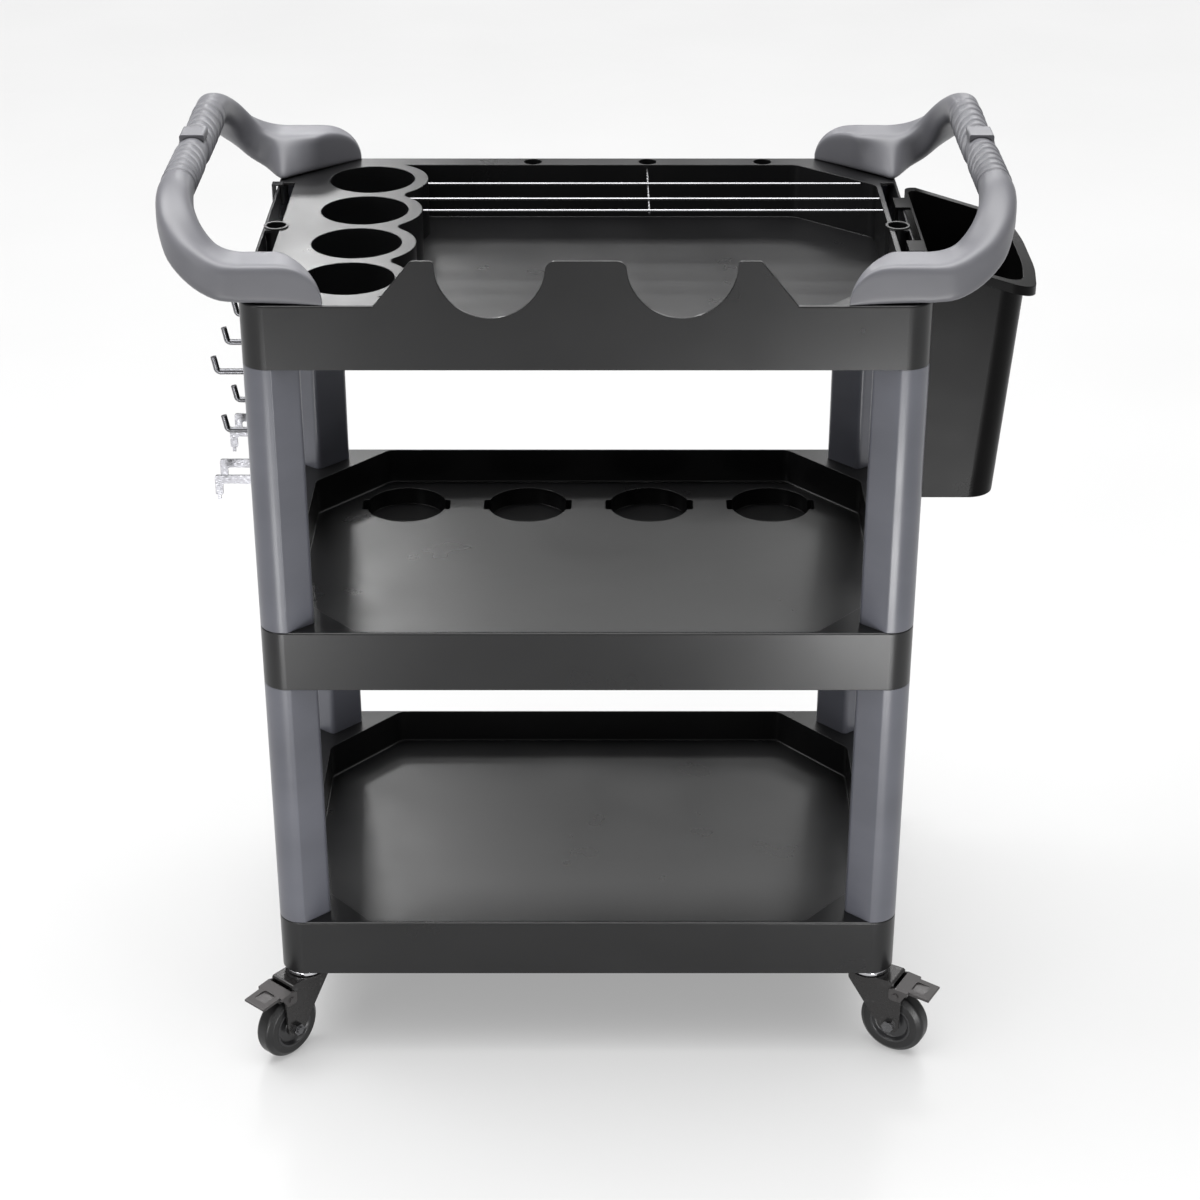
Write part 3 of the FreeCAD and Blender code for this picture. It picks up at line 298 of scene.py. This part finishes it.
@dataclass(frozen=True)
class TreadRubber:
    """Black rubber with a dull bloom and fine scuffs."""

    name: str
    colour: tuple[float, float, float]
    roughness: float

    def build(self) -> bpy.types.Material:
        """Make the material.

        Returns:
            The finished material.
        """
        bench = NodeBench(self.name)
        bloom = bench.noise(scale=60.0, detail=5.0)
        scuff = bench.noise(scale=700.0, detail=3.0, stretch=(1.0, 1.0, 0.35))
        gain, lift, smoother, rougher = 1.7, 0.003, 0.08, 0.1
        paler = tuple(channel * gain + lift for channel in self.colour)
        tone = bench.blend(bench.spread(bloom, 0.0, 1.0), self.colour, paler)
        bench.link(tone, bench.shader.inputs["Base Color"])
        rough = bench.spread(scuff, self.roughness - smoother, self.roughness + rougher)
        bench.link(rough, bench.shader.inputs["Roughness"])
        scuff_depth, bloom_depth, edge = 0.00002, 0.00005, 0.0006
        bench.relief([(scuff, scuff_depth), (bloom, bloom_depth)], edge)
        bench.set(Specular_IOR_Level=0.4)
        return bench.material


TRAY = MouldedPlastic("tray_black", (0.003, 0.003, 0.0033), 0.3, Grain.SATIN, 0.03, 0.4)
GREY = MouldedPlastic("leg_grey", (0.07, 0.072, 0.086), 0.33, Grain.POLISHED, 0.03, 0.5)
HANDLE = MouldedPlastic("handle_grey", (0.09, 0.09, 0.099), 0.4, Grain.SATIN, 0.04, 0.38, 0.0003)
BIN = MouldedPlastic("bin_black", (0.0015, 0.0014, 0.0015), 0.3, Grain.POLISHED, 0.03, 0.07)
BOARD = MouldedPlastic("board_black", (0.003, 0.003, 0.0034), 0.42, Grain.STIPPLED, 0.05, 0.3)
HUB = MouldedPlastic("hub_dark", (0.012, 0.012, 0.013), 0.33, Grain.SATIN, 0.05, 0.5, 0.0005)
WIRE = PlatedSteel("bottle_wire", (0.3, 0.3, 0.31), 0.24)
HOOK = PlatedSteel("hook_zinc", (0.16, 0.16, 0.17), 0.3, (1.0, 6.0, 6.0))
CHROME = PlatedSteel("ring_chrome", (0.6, 0.6, 0.62), 0.14)
ZINC = PlatedSteel("bolt_zinc", (0.14, 0.14, 0.145), 0.26)
FORK = CoatedSteel("fork_black", (0.022, 0.021, 0.021), 0.26)
PEDAL = CoatedSteel("pedal_black", (0.05, 0.047, 0.047), 0.33, 0.2)
RUBBER = TreadRubber("tyre_rubber", (0.003, 0.003, 0.0032), 0.38)


def dress(nodes: list[str], material: bpy.types.Material) -> None:
    """Give CAD nodes their finish.

    Args:
        nodes: Names of the nodes.
        material: The finish.
    """
    for name in nodes:
        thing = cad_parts[name]
        thing.data.materials.clear()
        thing.data.materials.append(material)


# ---------------------------------------------------------------- sub-assemblies
@dataclass
class Trays:
    """The three moulded trays."""

    nodes: list[str] = field(default_factory=lambda: ["top_tray", "middle_shelf", "bottom_shelf"])

    def build(self) -> None:
        """Dress the trays."""
        dress(self.nodes, TRAY.build())


@dataclass
class Legs:
    """The eight tubular legs and the screws in their feet."""

    leg_mark: str = "_leg_"
    screw_mark: str = "screws"

    def build(self) -> None:
        """Dress the legs and the screws."""
        screws = [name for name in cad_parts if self.screw_mark in name]
        legs = [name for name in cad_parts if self.leg_mark in name and name not in screws]
        dress(legs, GREY.build())
        dress(screws, ZINC.build())


@dataclass(frozen=True)
class Station:
    """One cross-section of a handle: its four corners in millimetres and how round it is."""

    corners: tuple[Vector, Vector, Vector, Vector]
    roundness: float


# Each section of an arm: its centre and heading, half its width and height, and its roundness.
ARM_SECTIONS = (
    ((351, 206, 903), (1.0, -0.05, 0.22), 25.5, 20.0, 5.0),
    ((368, 203, 912), (0.9, -0.25, 0.5), 22.5, 19.2, 4.0),
    ((383, 193.5, 926), (0.62, -0.55, 0.66), 20.5, 18.6, 3.4),
    ((392.5, 178, 941), (0.3, -0.8, 0.66), 19.3, 18.2, 3.0),
    ((397.5, 160, 952), (0.1, -0.9, 0.5), 18.4, 17.8, 2.7),
    ((399.6, 141, 959.3), (0.02, -0.97, 0.25), 17.8, 17.4, 2.3),
    ((400, 124, 961.8), (0.0, -1.0, 0.06), 17.0, 16.8, 2.0),
)
FAIRING_STOPS = (252.2, 252.9, 254.8, 258.5, 264.5, 273.0, 283.0, 295.0, 308.0, 321.0, 334.0)


@dataclass
class Handle:
    """A push handle: two fairings on the tray's corners, two arms and a ribbed grip, as one skin."""

    side: Side
    rim: float = 880.25
    top: float = 920.0
    edge: float = 231.4
    tip: float = 252.0
    crest: float = 296.0
    apex: float = 330.0
    tip_foot: float = 227.0
    apex_foot: float = 148.0
    tip_shoulder: float = 228.0
    crest_shoulder: float = 184.0
    crown: float = 2.2
    least_height: float = 1.0
    fairing_roundness: float = 7.0
    grip_line: float = 400.0
    grip_height: float = 962.0
    grip_half: float = 120.0
    core_radius: float = 16.5
    plain_rise: float = 0.4
    ribs: int = 6
    rib_end: float = 116.0
    rib_profile: tuple[tuple[float, float], ...] = (
        (0.03, -2.0), (0.06, -2.0), (0.09, 1.0), (0.16, 1.2), (0.4, 1.0), (0.7, 0.5), (0.96, 0.1),
    )
    lean_reach: float = 26.0
    lean_from: float = 1.2
    lean_run: float = 60.0
    clip_half: float = 14.0
    rear_rise: float = 3.0
    rise_from: float = 40.0
    rise_run: float = 80.0
    arm_start: float = 352.0
    steps_between: int = 4
    points_round: int = 96

    def fairing_stations(self) -> list[Station]:
        """Cross-sections of the fairing, from its tip on the rim to the arm.

        Returns:
            Stations in planes square to X.
        """
        stations = []
        for x in FAIRING_STOPS:
            share = min(1.0, (x - self.tip) / (self.crest - self.tip))
            height = (self.top - self.rim) * math.sqrt(max(0.0, 1 - (1 - share) ** self.crown))
            spread = min(1.0, (x - self.tip) / (self.apex - self.tip))
            foot = self.tip_foot + (self.apex_foot - self.tip_foot) * spread
            shoulder = self.tip_shoulder + (self.crest_shoulder - self.tip_shoulder) * share
            low, high = self.rim, self.rim + max(height, self.least_height)
            stations.append(Station((
                Vector((x, foot, low)), Vector((x, max(foot, shoulder), high)),
                Vector((x, self.edge, high)), Vector((x, self.edge, low)),
            ), self.fairing_roundness))
        return stations

    def arm_stations(self) -> list[Station]:
        """Cross-sections of the arm, from the fairing to the grip's end.

        Returns:
            Stations square to the arm's run.
        """
        stations = []
        for centre, heading, wide, tall, roundness in ARM_SECTIONS:
            middle, ahead = Vector(centre), Vector(heading).normalized()
            across = Vector((0, 0, 1)).cross(ahead).normalized()
            upward = ahead.cross(across)
            stations.append(Station((
                middle - across * wide - upward * tall, middle - across * wide + upward * tall,
                middle + across * wide + upward * tall, middle + across * wide - upward * tall,
            ), roundness))
        return stations

    def rib_lean(self, turn: float) -> float:
        """How far a rib lies towards the front at one place round the grip.

        Args:
            turn: Angle round the grip, from the outer side over the top to the inner side.

        Returns:
            The distance in millimetres.
        """
        return self.lean_reach * (1 - math.cos(turn - self.lean_from)) / 2

    def grip_stops(self) -> list[tuple[float, float]]:
        """Where the grip's rings lie, from the front end to the rear end.

        Returns:
            Pairs of a distance from the trolley's middle and a height over the grip's core.
        """
        plain = self.plain_rise
        stops = [(-self.grip_half, plain), (-self.rib_end, plain)]
        pitch = (self.rib_end - self.clip_half) / self.ribs
        for start in (-self.rib_end, self.clip_half):
            for index in range(self.ribs):
                stops += [(start + (index + share) * pitch, rise) for share, rise in self.rib_profile]
            stops.append((start + self.ribs * pitch, plain))
        stops.append((self.grip_half, plain))
        return stops

    def grip_rings(self) -> list[list[Vector]]:
        """The ribbed grip's rings, from the front end to the rear end.

        Returns:
            Rings of points in millimetres, for the handle on the positive side.
        """
        rings = []
        for along, rise in self.grip_stops():
            share = min(1.0, (self.grip_half - abs(along)) / self.lean_run)
            radius = self.core_radius + rise
            ring = []
            for step in range(self.points_round):
                turn = 2 * math.pi * step / self.points_round
                ring.append(Vector((
                    self.grip_line + radius * math.cos(turn),
                    along - self.rib_lean(turn) * share,
                    self.grip_height + radius * math.sin(turn),
                )))
            rings.append(ring)
        return rings

    def ring(self, corners: list[Vector], roundness: float) -> list[Vector]:
        """Points round one cross-section.

        Args:
            corners: The section's four corners: inner low, inner high, outer high, outer low.
            roundness: 2 for an ellipse, more for squarer corners.

        Returns:
            The points, in order.
        """
        inner_low, inner_high, outer_high, outer_low = corners
        points = []
        for step in range(self.points_round):
            turn = 2 * math.pi * step / self.points_round
            c, s = math.cos(turn), math.sin(turn)
            u = (math.copysign(abs(c) ** (2 / roundness), c) + 1) / 2
            v = (math.copysign(abs(s) ** (2 / roundness), s) + 1) / 2
            low = inner_low.lerp(outer_low, u)
            high = inner_high.lerp(outer_high, u)
            points.append(low.lerp(high, v))
        return points

    def smoothed(self, stations: list[Station], steps: int) -> list[Station]:
        """Fill in stations between the given ones along smooth curves.

        Args:
            stations: The stations to pass through.
            steps: Stations made for each span.

        Returns:
            The denser list.
        """
        denser = []
        for index in range(len(stations) - 1):
            before = stations[max(index - 1, 0)]
            start, end = stations[index], stations[index + 1]
            after = stations[min(index + 2, len(stations) - 1)]
            for step in range(steps):
                share = step / steps
                corners = tuple(
                    self.curve(a, b, c, d, share)
                    for a, b, c, d in zip(before.corners, start.corners, end.corners, after.corners)
                )
                denser.append(Station(corners, start.roundness + (end.roundness - start.roundness) * share))
        denser.append(stations[-1])
        return denser

    def curve(self, before: Vector, start: Vector, end: Vector, after: Vector, share: float) -> Vector:
        """A point on the smooth curve through four points.

        Args:
            before: The point ahead of the span.
            start: The span's start.
            end: The span's end.
            after: The point past the span.
            share: How far along the span, from 0 to 1.

        Returns:
            The point.
        """
        squared, cubed = share ** 2, share ** 3
        return 0.5 * (
            2 * start + (end - before) * share + (2 * before - 5 * start + 4 * end - after) * squared
            + (3 * start - before - 3 * end + after) * cubed
        )

    def build(self, material: bpy.types.Material) -> bpy.types.Object:
        """Build the skin, from one fairing's tip to the other's.

        Args:
            material: The handle's finish.

        Returns:
            The piece.
        """
        run = self.smoothed(self.fairing_stations() + self.arm_stations(), self.steps_between)
        half = [self.ring(list(station.corners), station.roundness) for station in run]
        whole = [[self.at(point, -1) for point in ring] for ring in half]
        whole += [[self.at(point, 1) for point in ring] for ring in self.grip_rings()]
        whole += [[self.at(point, 1) for point in ring] for ring in reversed(half)]
        vertices = [point for ring in whole for point in ring]
        count = self.points_round
        faces = []
        for index in range(len(whole) - 1):
            for step in range(count):
                following = (step + 1) % count
                low, high = index * count, (index + 1) * count
                face = (low + step, low + following, high + following, high + step)
                faces.append(face if self.side is Side.LEFT else face[::-1])
        caps = [tuple(range(count)), tuple(range((len(whole) - 1) * count, len(whole) * count))]
        faces.append(caps[0][::-1] if self.side is Side.LEFT else caps[0])
        faces.append(caps[1] if self.side is Side.LEFT else caps[1][::-1])
        name = f"moulded_handle_{self.side.name.lower()}"
        mesh = bpy.data.meshes.new(name)
        mesh.from_pydata([tuple(point) for point in vertices], [], faces)
        mesh.shade_smooth()
        mesh.materials.append(material)
        piece = bpy.data.objects.new(name, mesh)
        bpy.context.scene.collection.objects.link(piece)
        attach(piece, "root")
        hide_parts(f"handle_{self.side.name.lower()}")
        return piece

    def at(self, point: Vector, end: int) -> Vector:
        """Mirror a point to this handle's side and end, in metres.

        Args:
            point: The point on the positive side and end, in millimetres.
            end: -1 for the front half, 1 for the rear half.

        Returns:
            The mirrored point.
        """
        moved = Vector((point.x * self.side.value, point.y * end, point.z))
        rearwards = min(1.0, max(0.0, (moved.y - self.rise_from) / self.rise_run))
        outwards = min(1.0, max(0.0, (point.x - self.arm_start) / (self.grip_line - self.arm_start)))
        share = rearwards * outwards
        moved.z += self.rear_rise * share * share * (3 - 2 * share)
        return moved * MM


@dataclass
class BottleRack:
    """The bright rods that hold bottles upright in the top tray."""

    prefix: str = "bottle_"

    def build(self) -> None:
        """Dress the rods."""
        dress([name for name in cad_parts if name.startswith(self.prefix)], WIRE.build())


@dataclass
class HangingGoods:
    """The waste bin on the right and the hook board on the left."""

    metal: tuple[str, ...] = ("peg_hooks", "tool_holder_front", "tool_holder_rear")

    def build(self) -> None:
        """Dress the bin, the board and its hooks."""
        dress(["waste_bin"], BIN.build())
        dress(["hook_panel"], BOARD.build())
        dress(list(self.metal), HOOK.build())


@dataclass
class Casters:
    """The four braked swivel casters."""

    corners: tuple[str, ...] = ("front_left", "front_right", "rear_left", "rear_right")

    def build(self) -> None:
        """Dress each piece of each caster."""
        finishes = {
            "fork": FORK.build(), "brake_pedal": PEDAL.build(), "tyre": RUBBER.build(), "hub": HUB.build(),
            "axle_bolt": ZINC.build(), "stem": ZINC.build(), "swivel_ring": CHROME.build(),
        }
        for corner in self.corners:
            for piece, material in finishes.items():
                dress([f"caster_{corner}_{piece}"], material)


# ---------------------------------------------------------------- studio
@dataclass(frozen=True)
class Softbox:
    """A large area light."""

    name: str
    position: tuple[float, float, float]
    target: tuple[float, float, float]
    width: float
    height: float
    power: float

    def build(self) -> None:
        """Hang the light and aim it."""
        data = bpy.data.lights.new(self.name, "AREA")
        data.shape = "RECTANGLE"
        data.size, data.size_y = self.width, self.height
        data.energy = self.power
        light = bpy.data.objects.new(self.name, data)
        light.location = self.position
        aim = Vector(self.target) - Vector(self.position)
        light.rotation_euler = aim.to_track_quat("-Z", "Y").to_euler()
        light.visible_camera = False
        bpy.context.scene.collection.objects.link(light)


SOFTBOXES = (
    Softbox("rear_left", (-0.62, 2.9, 2.1), (-0.2, 0.0, 0.7), 0.3, 0.25, 5.0),
    Softbox("rear_right", (1.0, 2.9, 1.7), (0.3, 0.0, 0.7), 0.8, 0.5, 5.0),
    Softbox("rear_high", (0.1, 2.9, 2.85), (0.1, 0.0, 0.85), 1.8, 0.5, 22.0),
    Softbox("front_low_right", (0.5, -1.2, 0.1), (0.15, -0.27, 0.5), 0.3, 0.4, 9.0),
    Softbox("front_low_left", (-0.6, -1.2, 0.1), (-0.3, -0.27, 0.5), 0.25, 0.4, 5.0),
    Softbox("front_left", (-1.6, -1.5, 1.1), (-0.2, -0.2, 0.6), 0.5, 1.2, 6.0),
    Softbox("upper_left", (-1.5, 0.2, 2.6), (0.0, 0.0, 0.8), 1.2, 1.2, 34.0),
)


@dataclass
class Studio:
    """A pale floor that glows a little, a white surround, soft lights and the camera."""

    floor_half: float = 14.0
    floor_dark: tuple[float, float, float] = (0.22, 0.22, 0.22)
    floor_light: tuple[float, float, float] = (0.24, 0.24, 0.24)
    floor_sheen: tuple[float, float] = (0.3, 0.4)
    floor_glow: float = 0.33
    sensor: float = 36.0
    surround: float = 0.34
    dome: float = 11.0
    dome_focus: float = 8.0
    camera_place: tuple[float, float, float] = (0.0134, -2.5485, 1.7574)
    camera_pitch: float = 27.243
    lens: float = 77.357

    def build(self) -> None:
        """Set up the studio."""
        self.lay_floor()
        self.light()
        self.place_camera()

    def lay_floor(self) -> None:
        """A pale floor with a faint gloss."""
        half = self.floor_half
        mesh = bpy.data.meshes.new("studio_floor")
        corners = [(-half, -half, 0), (half, -half, 0), (half, half, 0), (-half, half, 0)]
        mesh.from_pydata(corners, [], [(0, 1, 2, 3)])
        floor = bpy.data.objects.new("studio_floor", mesh)
        bpy.context.scene.collection.objects.link(floor)
        bench = NodeBench("studio_floor")
        clouds = bench.noise(scale=0.8, detail=3.0)
        tone = bench.blend(clouds, self.floor_dark, self.floor_light)
        bench.link(tone, bench.shader.inputs["Base Color"])
        rough = bench.spread(bench.noise(scale=3.0, detail=3.0), *self.floor_sheen)
        bench.link(rough, bench.shader.inputs["Roughness"])
        bench.set(Specular_IOR_Level=0.3, Emission_Strength=self.floor_glow)
        bench.shader.inputs["Emission Color"].default_value = WHITE
        mesh.materials.append(bench.material)

    def light(self) -> None:
        """A surround that is brightest overhead, and the softboxes."""
        scene = bpy.context.scene
        scene.view_settings.view_transform = "Standard"
        world = bpy.data.worlds.new("studio_surround")
        world.use_nodes = True
        scene.world = world
        tree = world.node_tree
        where = tree.nodes.new("ShaderNodeTexCoord")
        split = tree.nodes.new("ShaderNodeSeparateXYZ")
        upward = tree.nodes.new("ShaderNodeMath")
        upward.operation = "MAXIMUM"
        upward.inputs[1].default_value = 0.0
        gather = tree.nodes.new("ShaderNodeMath")
        gather.operation = "POWER"
        gather.inputs[1].default_value = self.dome_focus
        strength = tree.nodes.new("ShaderNodeMath")
        strength.operation = "MULTIPLY_ADD"
        strength.inputs[1].default_value = self.dome
        strength.inputs[2].default_value = self.surround
        tree.links.new(where.outputs["Generated"], split.inputs["Vector"])
        tree.links.new(split.outputs["Z"], upward.inputs[0])
        tree.links.new(upward.outputs[0], gather.inputs[0])
        tree.links.new(gather.outputs[0], strength.inputs[0])
        tree.links.new(strength.outputs[0], tree.nodes["Background"].inputs["Strength"])
        tree.nodes["Background"].inputs["Color"].default_value = WHITE
        for softbox in SOFTBOXES:
            softbox.build()

    def place_camera(self) -> None:
        """The camera that looks slightly down on the trolley's front."""
        data = bpy.data.cameras.new("main_camera")
        data.lens = self.lens
        data.sensor_width = self.sensor
        camera = bpy.data.objects.new("main_camera", data)
        camera.location = self.camera_place
        camera.rotation_euler = (math.radians(90.0 - self.camera_pitch), 0.0, 0.0)
        bpy.context.scene.collection.objects.link(camera)
        bpy.context.scene.camera = camera


def main() -> None:
    """Build the studio and dress every sub-assembly in order."""
    logging.basicConfig(level=logging.INFO, format="%(message)s")
    Studio().build()
    Trays().build()
    Legs().build()
    handle_finish = HANDLE.build()
    for side in Side:
        piece = Handle(side).build(handle_finish)
        LOG.info("built %s with %d vertices", piece.name, len(piece.data.vertices))
    dress(["grip_clip_left", "grip_clip_right"], handle_finish)
    BottleRack().build()
    HangingGoods().build()
    Casters().build()
    for name in sorted(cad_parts):
        LOG.info("dressed %s", name)


if __name__ == "__main__":
    main()
